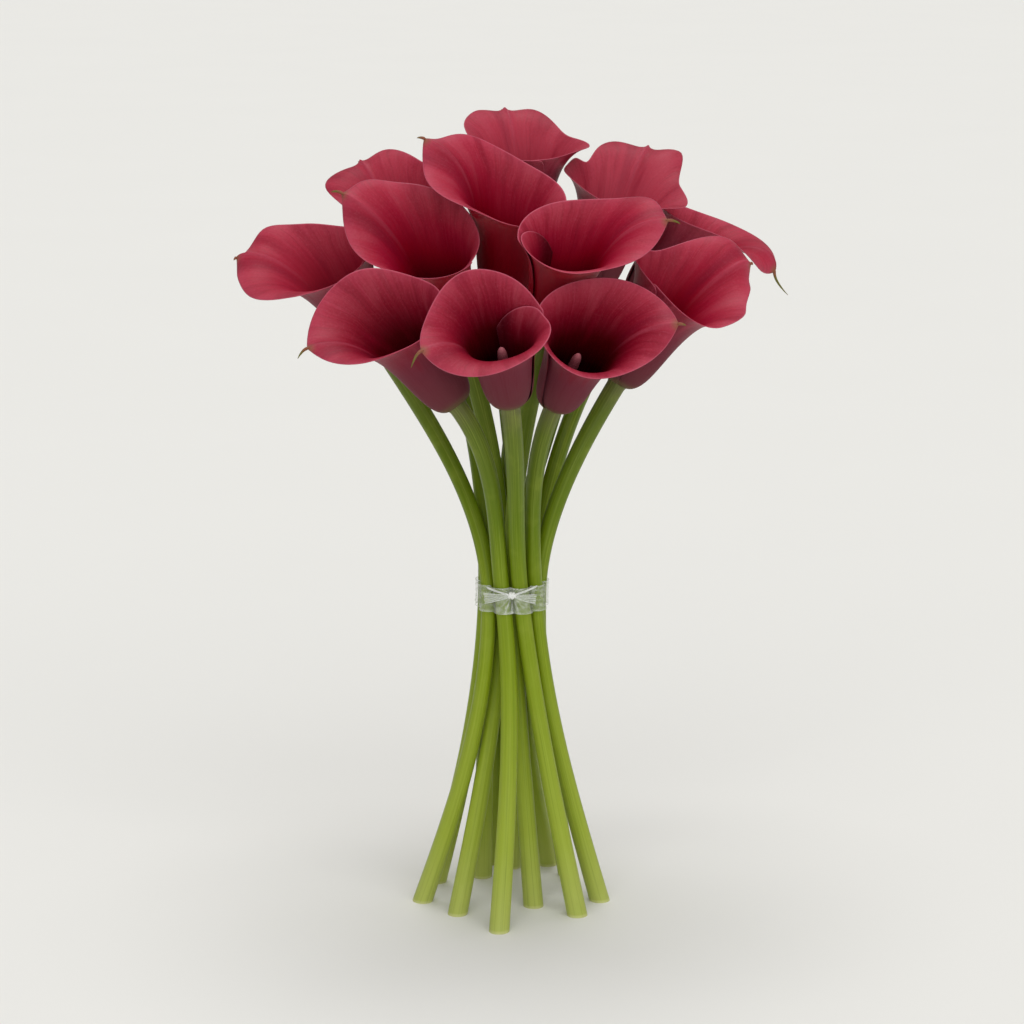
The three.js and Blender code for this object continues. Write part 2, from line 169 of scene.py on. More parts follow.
# ---- the twelve blooms ---------------------------------------------------------------------
# A plain spathe: its lengths at the tip and the front, rim angles, fold at the tip, and how
# its inner margin wraps: half turns covered, share of the length cut off, curl into the mouth.
PLAIN_SPATHE = dict(length=112, front=68, tip=92, rim=52, curl=0, curl_width=0.3,
                    hand=1, wrap_in=1.32, cut_in=0.75, coil=0.06)

# What most flowers share: the sideways slope of the stem in the tie, how far the tail droops
# and swings toward x as shares of its length, and three strengths of painted light: a deeper red
# outside that is painted shade with reflected red light, a darker throat that is painted shade,
# and a paler inside that is painted light.
PLAIN_FLOWER = dict(sway=(0, 0), droop=0.3, swing=0, deep_out=0, dark_in=0, pale_in=0)

# Each flower: foot on the floor, place in the tie as ring and angle, neck of the bloom,
# compass, lean and roll of its axis, the nod as angle and compass, size, and the lengths of
# its spadix and of its green tail. A wave of the rim is its place in degrees round the mouth
# from the tip, how many degrees the rim turns out there, by what share it is longer, and its
# half width in degrees.
FLOWERS = {
    "front_centre": dict(
        foot=(36, -23), slot=(OUTER, -70), neck=(-1, -56, 293), axis=(-120, 14, -36),
        nod=(40, -95), size=0.77, spadix=47, tail=5.5, droop=1.1, dark_in=1,
        shape=dict(length=108, front=80, rim=60, hand=-1, coil=0.45, wrap_in=1.4, cut_in=0.2),
        waves=((75, 10, 0.06, 35), (-30, -8, -0.05, 30), (-92, 0, 0.05, 32),
               (178, -10, -0.14, 35), (-182, -10, -0.14, 35))),
    "front_left": dict(
        foot=(-7, -47), slot=(OUTER, -110), neck=(-29, -35, 289), axis=(175, 37, 4),
        nod=(36, -80), size=0.84, spadix=38, tail=5, droop=0.7, dark_in=1,
        shape=dict(length=106, front=76),
        waves=((30, -14, -0.02, 35), (-45, 6, 0.08, 35), (-90, -4, 0.115, 32))),
    "front_right": dict(
        foot=(49, 0), slot=(OUTER, -30), neck=(22, -26, 286), axis=(-32, 26, 50),
        nod=(36, -90), size=0.83, spadix=45, tail=3.5, dark_in=1,
        shape=dict(length=106, front=72, rim=55),
        waves=((60, 5, 0, 35), (-40, -12, -0.12, 34))),
    "far_left": dict(
        foot=(-50, -1), slot=(OUTER, 210), sway=(0.04, 0), neck=(-71, 52, 303),
        axis=(178, 32, -30), nod=(24, -85), size=0.9, spadix=38, tail=2, pale_in=0.25,
        shape=dict(front=74, curl=30),
        waves=((-90, -14, -0.08, 50), (72, 25, 0.13, 35), (-28, 5, 0.05, 12))),
    "right_low": dict(
        foot=(32, 41), slot=(OUTER, 10), neck=(57, 8, 293), axis=(4, 31, 50),
        nod=(26, -90), size=0.9, spadix=38, tail=2,
        shape=dict(length=110, front=78, rim=15, curl=30),
        waves=((70, -8, -0.12, 35), (122, 8, 0.06, 20), (20, 6, 0.08, 20), (-8, 0, -0.02, 7),
               (-32, -7, -0.08, 22))),
    "mid_left": dict(
        foot=(-30, -21), slot=(INNER, 150), neck=(-28, 31, 314), axis=(-170, 19, -56),
        nod=(36, -90), size=0.89, spadix=38, tail=7, deep_out=1,
        shape=dict(tip=103),
        waves=((-17, -2, 0.05, 14), (50, -16, -0.07, 40), (-120, -4, -0.04, 25),
               (115, -16, 0.1, 45))),
    "mid_right": dict(
        foot=(12, -9), slot=(INNER, -90), neck=(19, -2, 324), axis=(-30, 16, 42),
        nod=(26, -90), size=0.85, spadix=36, tail=6, deep_out=1,
        shape=dict(tip=100, wrap_in=1.4, cut_in=0.3, coil=0.25),
        waves=((24, 4, 0.08, 16), (62, -10, -0.05, 36), (-40, -10, -0.08, 40),
               (-95, 6, 0.03, 35))),
    "centre_high": dict(
        foot=(0, 54), slot=(INNER, 30), neck=(-5, 46, 330), axis=(0, 2, -198),
        nod=(28, -80), size=0.88, spadix=36, tail=4, deep_out=1,
        shape=dict(front=80, tip=100),
        waves=((-85, -14, -0.06, 50), (-28, 0, 0.05, 20), (0, 0, 0.04, 10), (55, 5, 0.04, 40))),
    "far_right": dict(
        foot=(21, 58), slot=(OUTER, 50), sway=(0.06, -0.04), neck=(71, 106, 321),
        axis=(0, 38, -15), nod=(8, -90), size=0.87, spadix=38, tail=10, swing=0.8,
        shape=dict(curl=80, curl_width=0.5),
        waves=((30, 10, 0.08, 25), (-60, -20, -0.05, 40))),
    "back_right": dict(
        foot=(-12, 61), slot=(OUTER, 90), neck=(45, 91, 332), axis=(0, 15, 75),
        nod=(8, -90), size=0.92, spadix=38, tail=2, pale_in=1,
        shape=dict(curl=40),
        waves=((56, -18, -0.12, 18), (90, -6, 0, 20), (136, 8, 0.1, 28), (-224, 8, 0.1, 28),
               (0, 4, -0.02, 9), (-22, 8, 0.09, 13), (-50, -7, -0.06, 20),
               (-98, 26, 0.08, 18))),
    "back_centre": dict(
        foot=(-17, 38), slot=(OUTER, 130), neck=(7, 90, 356), axis=(90, 4, 15),
        nod=(10, -90), size=0.87, spadix=38, tail=2, pale_in=0.8,
        shape=dict(curl=40),
        waves=((-60, -8, -0.1, 32), (-106, 24, 0.06, 18), (0, 0, -0.05, 12))),
    "back_left": dict(
        foot=(-43, 30), slot=(OUTER, 170), neck=(-47, 92, 332), axis=(180, 22, -75),
        nod=(12, -90), size=0.88, spadix=38, tail=2, pale_in=0.5,
        shape=dict(curl=40),
        waves=((-60, -8, -0.08, 32), (75, -32, -0.25, 38), (36, 22, 0.12, 14),
               (0, 0, -0.05, 10))),
}
FLOWERS = {name: {**PLAIN_FLOWER, **flower} for name, flower in FLOWERS.items()}


# ---- colours, as 8-bit numbers -------------------------------------------------------------
# along a spathe from its neck (0) to its rim (1)
OUTSIDE = ((0.0, (100, 70, 60)), (0.12, (104, 54, 60)), (0.45, (110, 48, 60)),
           (0.75, (124, 36, 54)), (1.0, (156, 40, 64)))
# painted shade with reflected red light, for the outside of blooms deep in the bunch
PAINTED_SHADE_OUTSIDE = ((0.0, (56, 0, 6)), (0.4, (116, 0, 18)), (1.0, (172, 10, 40)))
INSIDE = ((0.0, (26, 0, 2)), (0.35, (66, 0, 6)), (0.56, (134, 0, 26)),
          (0.76, (154, 10, 44)), (0.92, (168, 40, 62)), (1.0, (176, 58, 80)))
# painted shade, for the throat of the front blooms
PAINTED_SHADE_THROAT = ((0.0, (10, 0, 0)), (0.35, (24, 0, 0)), (0.56, (74, 0, 6)),
               (0.76, (128, 2, 30)), (0.92, (156, 34, 56)), (1.0, (170, 54, 76)))
# painted light, for the inside of the back blooms
PAINTED_LIGHT_INSIDE = ((0.0, (60, 2, 14)), (0.35, (124, 24, 44)), (0.56, (172, 58, 76)),
               (0.8, (170, 53, 71)), (1.0, (160, 44, 63)))
# along a spadix from its root to its end, and along a stem from its foot to its bloom
# a spadix darkens toward its root as painted shade deep in its spathe; its pink end is its own
# colour
SPADIX = ((0.0, (60, 8, 12)), (0.55, (88, 16, 28)), (0.85, (124, 44, 60)), (1.0, (172, 92, 104)))
STEM = ((0.0, (172, 182, 90)), (0.12, (154, 170, 56)), (0.38, (130, 150, 22)),
        (0.7, (98, 120, 8)), (0.93, (94, 110, 30)), (1.0, (102, 104, 58)))
FILM = ((0.0, (214, 222, 208)), (1.0, (246, 248, 244)))
FLOOR = ((0.0, (231, 230, 226)), (1.0, (233, 232, 228)))
BACKDROP = (234, 233, 229)

# ---- veins, floor, lights and camera -------------------------------------------------------
VEINS = 56  # how fast the veins change across a spathe
VEIN_SHIFT = 7.3  # what moves them from one flower to the next
FLOOR_HALF = 40  # metres
ROOM_COLOUR = (1.0, 1.0, 0.985, 1)
ROOM_STRENGTH = 0.36
# name, strength, and width, tilt and turn of each sun in degrees
LIGHTS = (("key", 1.28, 40, -12, 0), ("fill", 1.5, 80, 55, 10))
CAMERA_Y = -1500
CAMERA_Z = 575
CAMERA_PITCH = 13.2  # degrees down
CAMERA_REACH = 200  # metres
CAMERA_FOCAL = 2840  # in pixels of the photograph's frame
FRAME_WIDTH = 1024
SENSOR = 36


# ---- small helpers -------------------------------------------------------------------------
def centre_shift():
    """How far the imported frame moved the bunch, read from the foot of one stem."""
    co = np.array([v.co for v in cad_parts["stem_front_centre"].data.vertices])
    ring = np.unique((co[co[:, 2] < ON_FLOOR] / MM).round(3), axis=0)
    packed = [*ring.mean(0)[:2], 0.0]
    return np.array([*FLOWERS["front_centre"]["foot"], 0.0]) - packed


SHIFT = centre_shift()


def smooth(x):
    x = np.clip(x, 0, 1)
    return x * x * (3 - 2 * x)


def bell(x, width):
    return np.exp(-((x / width) ** 2))


def unit(v):
    v = np.asarray(v, float)
    return v / np.linalg.norm(v, axis=-1, keepdims=True)


def level_step(length, compass):
    """A level vector of some length toward a compass angle, without its height."""
    a = math.radians(compass)
    return [length * math.cos(a), length * math.sin(a)]


def hermite(p0, m0, p1, m1, t):
    """Points at shares t of the cubic curve from p0 to p1 that starts along m0, ends along m1."""
    t = np.asarray(t, float)[:, None]
    return ((2 * t**3 - 3 * t**2 + 1) * p0 + (t**3 - 2 * t**2 + t) * m0
            + (-2 * t**3 + 3 * t**2) * p1 + (t**3 - t**2) * m1)


class Build:
    """Collects points, faces and per-point values of one piece."""

    def __init__(self, *names):
        self.names = names
        self.points, self.faces, self.values, self.count = [], [], {n: [] for n in names}, 0

    def add(self, points, faces, **values):
        """A face is four points, and a triangle has its last point twice."""
        points = np.asarray(points, float).reshape(-1, 3)
        faces = np.asarray(faces, int).reshape(-1, 4)
        self.points.append(points)
        self.faces.append(faces + self.count)
        for n in self.names:
            v = np.asarray(values.get(n, 0.0), float)
            self.values[n].append(np.broadcast_to(v.ravel() if v.ndim else v, len(points)))
        self.count += len(points)

    def add_ends(self, rings, first, last, **shared):
        """Closes both ends of a rod with a fan each, as points and values of their own."""
        for ring, flip, values in ((rings[0], True, first), (rings[-1], False, last)):
            n = len(ring)
            k = np.arange(n)
            q = (k + 1) % n
            middle = np.full(n, n)
            faces = np.stack([middle, q, k, k] if flip else [middle, k, q, q], -1)
            self.add(np.concatenate([ring, ring.mean(0)[None]]), faces, **values, **shared)

    def piece(self, name, material, node):
        """Makes the mesh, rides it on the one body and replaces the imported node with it."""
        points = (np.concatenate(self.points) - SHIFT) * MM
        faces = [f if f[3] != f[2] else f[:3] for f in np.concatenate(self.faces).tolist()]
        data = bpy.data.meshes.new(name)
        data.from_pydata(points.tolist(), [], faces)
        for n in self.names:
            layer = data.attributes.new(n, "FLOAT", "POINT")
            layer.data.foreach_set("value", np.concatenate(self.values[n]).astype(np.float32))
        data.shade_smooth()
        data.validate()
        data.update()
        data.materials.append(material)
        obj = bpy.data.objects.new(name, data)
        bpy.context.scene.collection.objects.link(obj)
        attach(obj, "root")
        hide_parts(node)


def rod(line, radii, sides, end_axis=None, flat_foot=False, swell=None):
    """Rings of a round rod, its faces, and the share along and the angle of each point.

    The last ring may face end_axis, a flat foot is cut level with the floor, and swell gives
    what is added to the radius for the number of a ring and an angle."""
    n = len(line)
    along = np.empty_like(line)
    along[1:-1] = line[2:] - line[:-2]
    along[0], along[-1] = line[1] - line[0], line[-1] - line[-2]
    along = unit(along)
    if end_axis is not None:
        along[-1] = end_axis
    side = unit(np.cross(along, [0, 1.0, 0]))
    other = np.cross(along, side)
    a = 2 * math.pi * np.arange(sides) / sides
    r = np.repeat(radii[:, None], sides, 1)
    if swell is not None:
        r = r + swell(np.arange(n)[:, None], a[None, :])
    p = (line[:, None] + r[..., None] * (np.cos(a)[None, :, None] * side[:, None]
                                         + np.sin(a)[None, :, None] * other[:, None]))
    if flat_foot:
        p[0] += along[0] * ((line[0, 2] - p[0, :, 2]) / along[0, 2])[:, None]
    share = np.repeat(np.linspace(0, 1, n)[:, None], sides, 1)
    angle = np.repeat(a[None, :], n, 0)
    return p, ring_faces(n, sides), share, angle


def ring_faces(rings, sides):
    """Faces between each ring of points and the next."""
    i, k = np.meshgrid(np.arange(rings - 1), np.arange(sides), indexing="ij")
    q = (k + 1) % sides
    faces = np.stack([i * sides + k, i * sides + q, (i + 1) * sides + q, (i + 1) * sides + k], -1)
    return faces.reshape(-1, 4)


def grid_normals(grid):
    return unit(np.cross(np.gradient(grid, axis=0), np.gradient(grid, axis=1)))


def sheet(grid, normal, half):
    """Points and faces of a closed thin sheet round a grid, first its face along the normal."""
    n, m = grid.shape[:2]
    far = n * m
    at = np.arange(far).reshape(n, m)
    a, b, c, d = at[:-1, :-1], at[1:, :-1], at[1:, 1:], at[:-1, 1:]

    def strip(line):
        x, y = line[:-1], line[1:]
        return np.stack([x, x + far, y + far, y], -1)

    faces = np.concatenate([
        np.stack([a, b, c, d], -1).reshape(-1, 4),
        np.stack([a, d, c, b], -1).reshape(-1, 4) + far,
        strip(at[:, 0]), strip(at[::-1, -1]), strip(at[0, ::-1]), strip(at[-1, :])])
    points = np.concatenate([(grid + normal * half).reshape(-1, 3),
                             (grid - normal * half).reshape(-1, 3)])
    return points, faces


# ---- the blooms ----------------------------------------------------------------------------
def bloom_axes(f):
    """Columns are the way to the tip, the way across, and the axis of a bloom."""
    a, b, g = (math.radians(angle) for angle in f["axis"])
    axis = np.array([math.sin(b) * math.cos(a), math.sin(b) * math.sin(a), math.cos(b)])
    level = np.array([math.cos(b) * math.cos(a), math.cos(b) * math.sin(a), -math.sin(b)])
    tip = math.cos(g) * level + math.sin(g) * np.cross(axis, level)
    return np.stack([tip, np.cross(axis, tip), axis], 1)


def place(p, f):
    """Bends points of a bloom about its neck toward the nod and sets them in the bunch."""
    m = bloom_axes(f)
    angle, compass = f["nod"]
    toward = m.T @ np.array([*level_step(1, compass), 0])
    h = math.atan2(toward[1], toward[0])
    radius = BOW_SPAN / math.radians(angle)
    # s runs toward the nod and w across it
    s = p[..., 0] * math.cos(h) + p[..., 1] * math.sin(h)
    w = -p[..., 0] * math.sin(h) + p[..., 1] * math.cos(h)
    turn = p[..., 2] / radius
    bent_s = radius - (radius - s) * np.cos(turn)
    bent_z = (radius - s) * np.sin(turn)
    bent = np.stack([bent_s * math.cos(h) - w * math.sin(h),
                     bent_s * math.sin(h) + w * math.cos(h), bent_z], -1)
    return bent @ m.T + np.array(f["neck"], float)


def spathe_columns(s, waves, u):
    """What each column u has: its angle from the tip, whether it is on the inner side, its
    share of the overlap, its full length, its length where the margin is cut, its rim angle."""
    inner = u * s["hand"] < 0
    wrap = np.where(inner, s["wrap_in"], WRAP_OUT)
    phi = np.sign(u) * wrap * math.pi * np.abs(u) ** CROWD
    half_turns = np.abs(phi) / math.pi
    over = np.clip((half_turns - 1) / (wrap - 1), 0, 1)
    mouth = np.minimum(half_turns, 1) * math.pi
    full = s["front"] + (s["length"] - s["front"]) * (1 - np.sin(mouth / 2) ** TIP_POINT)
    tipward = np.cos(mouth)
    rim = (SIDE + (s["tip"] - SIDE) * np.maximum(tipward, 0) ** 2
           + (s["rim"] - SIDE) * np.maximum(-tipward, 0) ** 2
           + WAVE * np.sin(WAVE_COUNT * phi + WAVE_START) * np.sin(mouth))
    turned = 0
    for at, turn, longer, width in waves:
        near = bell(np.degrees(np.sign(u) * mouth) - at, width)
        full = full * (1 + longer * near)
        turned = turned + turn * near
    kept = full * (1 - np.where(inner, s["cut_in"], CUT_OUT) * over**2)
    return phi, inner, over, full, kept, rim + turned


def spathe_grid(f, u, v):
    """Middle of the spathe for columns u (margin to margin) and rows v (neck to rim), with
    the angle of each column, the share along it of each point and its length."""
    s = {**PLAIN_SPATHE, **f["shape"]}
    size = f["size"]
    phi, inner, over, full, kept, rim = spathe_columns(s, f["waves"], u)
    # the slope is worked out at FINE steps for each row
    dense = np.interp(np.arange((len(v) - 1) * FINE + 1) / FINE, np.arange(len(v)), v)
    length = kept * dense
    mid = (length[:, 1:] + length[:, :-1]) / 2
    slope = np.radians(TUBE + (BASE - TUBE) * np.exp(-mid / BASE_LENGTH)
                       + (rim - TUBE) * (mid / full) ** FLARE
                       + s["curl"] * bell(phi, s["curl_width"]) * (mid / full) ** CURL_LATE)

    def run(rate):
        """Adds up the small steps of each column and keeps those at its rows."""
        steps = np.cumsum(rate * np.diff(length, axis=1), 1)
        return np.concatenate([np.zeros((len(u), 1)), steps], 1)[:, ::FINE]

    r = NECK / size + run(np.sin(slope))
    z = run(np.cos(slope))
    share = length[:, ::FINE] / full
    # one margin lies inside the other, and may curl into the mouth
    parted = smooth((np.abs(phi) / math.pi - LAYER_FROM) / LAYER_OVER)
    r = r + np.where(inner, -1.0, 1.0) * LAYER_GAP * parted
    r = np.where(inner, r * (1 - s["coil"] * smooth(over) * share), r)
    p = np.stack([r * np.cos(phi), r * np.sin(phi), z], -1) * size
    return p, phi, share, kept * size


def row_shares(rows):
    """Rows from neck to rim, closer together at both ends."""
    even = np.linspace(0, 1, rows + 1)
    eased = (1 - ROW_EASE) * even + ROW_EASE * smooth(even)
    return np.where(even < NECK_ROWS, (1 - NECK_EVEN) * eased + NECK_EVEN * even, eased)


def edge_distance(p, v, kept):
    """Distance of each point of a spathe from its margins and its rim."""
    upper = p[:, len(v) // 2 :].mean(1)
    run = np.concatenate([[0], np.cumsum(np.linalg.norm(np.diff(upper, axis=0), axis=1))])
    to_margin = np.minimum(run, run[-1] - run)[:, None]
    return np.minimum(to_margin, (1 - v) * kept)


def add_tail(build, f, tip, behind, **shared):
    """The tail carries the tip on, hangs down from it and may swing to the side."""
    q = np.linspace(-TAIL_ROOT, 1, TAIL_RINGS)
    out = np.maximum(q, 0)
    line = tip + unit(tip - behind) * (f["tail"] * q)[:, None]
    line[:, 2] -= f["droop"] * f["tail"] * out**2
    line[:, 0] += f["swing"] * f["tail"] * out**2
    rings, faces, _, _ = rod(line, np.interp(q, TAIL_SHARES, TAIL_RADII), TAIL_SIDES)
    build.add(rings, faces, tip_mm=-np.repeat(out * f["tail"], TAIL_SIDES), **shared)
    build.add_ends(rings, dict(tip_mm=0), dict(tip_mm=-f["tail"]), **shared)


def make_spathe(name, f, seed, material):
    u = np.linspace(-1, 1, SPATHE_COLS + 1)[:, None]
    v = row_shares(SPATHE_ROWS)
    p, phi, share, kept = spathe_grid(f, u, v)
    p = place(p, f)
    normal = grid_normals(p)
    # toward the tip the midrib stands out on the outside and is a groove on the inside
    rib = bell(phi, RIB_WIDTH) * smooth((share - RIB_FROM) / RIB_GROWS)
    p = p + normal * (RIB_HEIGHT * rib)[..., None]
    half = HALF_BLADE - RIM_THINNER * v**THIN_LATE
    points, faces = sheet(p, normal, half[:, None])
    middle = SPATHE_COLS // 2
    tip = p[middle, SPATHE_ROWS]

    def both(x):
        """A value for each point of the outside, then for each of the inside."""
        return np.tile(np.broadcast_to(x, share.shape).ravel(), 2)

    # the last three carry each flower's painted shade and painted light
    build = Build("across", "along", "rim_mm", "inside", "tip_mm", "neck_mm", "seed",
                  "deep_out", "dark_in", "pale_in")
    build.add(points, faces, across=both(phi / math.pi), along=both(share),
              rim_mm=both(edge_distance(p, v, kept)), inside=np.repeat([0, 1], share.size),
              tip_mm=both(np.linalg.norm(p - tip, axis=-1)), neck_mm=both(v * kept),
              seed=seed, deep_out=f["deep_out"], dark_in=f["dark_in"], pale_in=f["pale_in"])
    add_tail(build, f, tip, p[middle, SPATHE_ROWS - TAIL_AIM], along=1, rim_mm=PAST_RIM,
             neck_mm=PAST_NECK, seed=seed)
    build.piece(f"petal_{name}", material, f"spathe_{name}")


def make_spadix(name, f, seed, material):
    length = f["spadix"] * f["size"]
    w = np.linspace(0, 1, SPADIX_RINGS)
    end = np.clip((w - SPADIX_ROUND) / (1 - SPADIX_ROUND), 0, 1)
    radii = (np.interp(w, SPADIX_SHARES, SPADIX_RADII)
             * np.sqrt(np.maximum(1 - end**2, SPADIX_END)))
    line = place(np.stack([0 * w, 0 * w, w * length - SPADIX_ROOT], -1), f)

    def florets(i, a):
        """Small bumps in rows, each row half a floret further round, fading at the end."""
        row = w[i] * length / FLORET_PITCH
        shift = (np.floor(row) % 2) * math.pi / FLORETS_ROUND
        fade = np.clip((FLORETS_STOP - w[i]) * FLORETS_FADE, 0, 1)
        ripple = (np.abs(np.sin(math.pi * row))
                  * np.abs(np.cos(FLORETS_ROUND / 2 * (a + shift))))
        return (FLORET_HEIGHT * ripple**FLORET_BLUNT - FLORET_HEIGHT / 2) * fade

    rings, faces, share, around = rod(line, radii, SPADIX_SIDES, swell=florets)
    build = Build("along", "around", "seed")
    build.add(rings, faces, along=share, around=around, seed=seed)
    build.add_ends(rings, dict(along=0), dict(along=1), seed=seed)
    build.piece(f"finger_{name}", material, f"spadix_{name}")


# ---- the stems -----------------------------------------------------------------------------
def stem_line(f, axis):
    """From the foot through the tie, where the whole bunch twists, to the neck of the bloom."""
    foot = np.array([*f["foot"], 0.0])
    tie = np.array([*level_step(*f["slot"]), TIE_Z])
    top = np.array(f["neck"], float)
    low, high = np.linalg.norm(tie - foot), np.linalg.norm(top - tie)
    through = unit([TWIST * tie[1] + f["sway"][0], f["sway"][1] - TWIST * tie[0], 1.0])
    start = unit((tie - foot) / low * (1 + FOOT_BEND) - through * FOOT_BEND)
    t = np.linspace(0, 1, STEM_RINGS)
    below = hermite(foot, start * low, tie, through * low, t)
    above = hermite(tie, through * high, top, axis * high, t)
    return np.concatenate([below, above[1:]])


def make_stem(name, f, seed, material):
    axis = bloom_axes(f)[:, 2]
    line = stem_line(f, axis)
    n = len(line)
    knots = range(len(STEM_RADII))
    radii = np.interp(np.linspace(0, knots[-1], n), knots, STEM_RADII)
    radii[-1] = NECK + TOP_SPREAD
    phases = np.random.default_rng(RIDGE_SEED + seed).uniform(0, 6.28, len(RIDGES))

    def ridges(i, a):
        return sum(height * np.cos(count * a + phase + turn * (i / n))
                   for (height, count, turn), phase in zip(RIDGES, phases)) - RIDGE_SINK

    rings, faces, share, around = rod(line, radii, STEM_SIDES, axis, True, ridges)
    build = Build("along", "around", "cut", "foot_mm", "seed")
    build.add(rings, faces, along=share, around=around, foot_mm=rings[..., 2], seed=seed)
    build.add_ends(rings, dict(along=0, cut=1), dict(along=1), seed=seed)
    build.piece(f"stalk_{name}", material, f"stem_{name}")


# ---- the tie -------------------------------------------------------------------------------
def add_film(build, grid, thick, haze):
    """A thin closed sheet of film from a grid of points, with a haze value per point."""
    points, faces = sheet(grid, grid_normals(grid), thick / 2)
    build.add(points, faces, haze=np.tile(haze.ravel(), 2))


def band_radius(angle, z):
    """Drawn round the nine outer stems, the film is round at each and flat between."""
    step = math.radians(STEM_STEP)
    reach = STEM_RADII[2] + BAND_GAP + BAND_MIDDLE
    first = math.radians(FIRST_STEM) + TWIST * (TIE_Z - z)
    off = angle - first - np.round((angle - first) / step) * step
    at_stem = OUTER * np.cos(off) + np.sqrt(reach**2 - (OUTER * np.sin(off)) ** 2)
    between = (OUTER * math.cos(step / 2) + reach) / np.cos(step / 2 - np.abs(off))
    return np.minimum(at_stem, between)


def band_creases(front, z):
    """Soft creases of many slopes, each in its own stretch of the band."""
    rng = np.random.default_rng(FILM_SEED)
    crease = np.zeros_like(z)
    for _ in range(CREASES):
        slope, phase, pitch = rng.normal(0, 0.5), rng.uniform(0, 6.28), rng.uniform(0.6, 2.6)
        where, width = rng.uniform(-3.1, 3.1), rng.uniform(0.25, 0.7)
        near = bell(np.angle(np.exp(1j * (front - where))), width)
        crease += near * np.sin(pitch * (z - TIE_Z) + phase + slope * CREASE_SLANT * front)
    return crease


def add_band(build):
    """The band is hazy at its edges, in its creases and in rays that run from the knot."""
    heights = np.linspace(-BAND_HEIGHT / 2, BAND_HEIGHT / 2, BAND_ROWS) + TIE_Z
    angles = np.linspace(0, 2 * math.pi, BAND_COLS) - math.pi / 2
    a, z = np.meshgrid(angles, heights, indexing="ij")
    front = np.angle(np.exp(1j * (a + math.pi / 2)))
    crease = band_creases(front, z)
    r = band_radius(a, z) + CREASE_HEIGHT * crease + CREASE_LIFT
    rays = np.abs(np.sin(np.arctan2(z - KNOT_Z, front * BAND_RADIUS) * RAYS))
    rays = rays * bell(front, RAYS_REACH)
    edge = np.exp(-np.minimum(z - heights[0], heights[-1] - z) / EDGE_HAZE)
    haze = (BAND_HAZE["plain"] + BAND_HAZE["creases"] * np.clip(crease * CREASE_HAZE, 0, 1)
            + BAND_HAZE["edges"] * edge + BAND_HAZE["rays"] * rays**RAY_THIN)
    add_film(build, np.stack([r * np.cos(a), r * np.sin(a), z], -1), BAND_THICK, haze)


def add_end(build, turn, rise, width, bright):
    """A loose end widens from the knot and stands off the band more and more."""
    s, side = np.meshgrid(np.linspace(0, 1, END_COLS), np.linspace(-1, 1, END_ROWS),
                          indexing="ij")
    fold = np.sin(side * END_PLEATS + END_SLANT * s)
    a = np.radians(-90 + turn * s)
    r = END_RADIUS + END_LIFT * s**2 + END_TILT * side * s + END_FOLD * fold * smooth(s * 2)
    widens = (width / 2 - END_TRIM - END_ROOT) * s**END_WIDENS
    z = KNOT_Z + rise * s + side * (END_ROOT + widens)
    grid = np.stack([r * np.cos(a), r * np.sin(a), z], -1)
    # an end that runs the other way round is turned over, so that its faces point outward
    if turn > 0:
        grid = grid[:, ::-1]
    haze = (bright + END_HAZE["sides"] * (np.abs(side) > END_SIDE)
            + END_HAZE["folds"] * np.abs(fold) ** FOLD_THIN
            + END_HAZE["root"] * np.exp(-s * ROOT_FADE))
    add_film(build, grid, END_THICK, haze)


def add_knot(build):
    """A pinched, folded bead, with its poles at the front and the back."""
    th, ph = np.meshgrid(np.linspace(KNOT_POLE, math.pi - KNOT_POLE, KNOT_RINGS),
                         2 * math.pi * np.arange(KNOT_SIDES) / KNOT_SIDES, indexing="ij")
    fold = (1 + KNOT_FOLD * np.sin(KNOT_FOLDS * ph + 3 * np.cos(th)) * np.sin(th)
            - KNOT_PINCH * np.cos(2 * th))
    x, y, z = KNOT_SIZE
    rings = np.stack([x * fold * np.sin(th) * np.cos(ph), y * fold * np.cos(th),
                      z * fold * np.sin(th) * np.sin(ph)], -1) + [0, KNOT_Y, KNOT_Z]
    build.add(rings, ring_faces(KNOT_RINGS, KNOT_SIDES), haze=1)
    build.add_ends(rings, {}, {}, haze=1)


def make_tie(material):
    build = Build("haze")
    add_band(build)
    for end in LOOSE_ENDS:
        add_end(build, *end)
    add_knot(build)
    build.piece("film_tie", material, "tie_film")


# ---- materials -----------------------------------------------------------------------------
def srgb(r, g, b):
    def linear(c):
        c /= 255
        return c / 12.92 if c <= 0.04045 else ((c + 0.055) / 1.055) ** 2.4
    return (linear(r), linear(g), linear(b), 1.0)


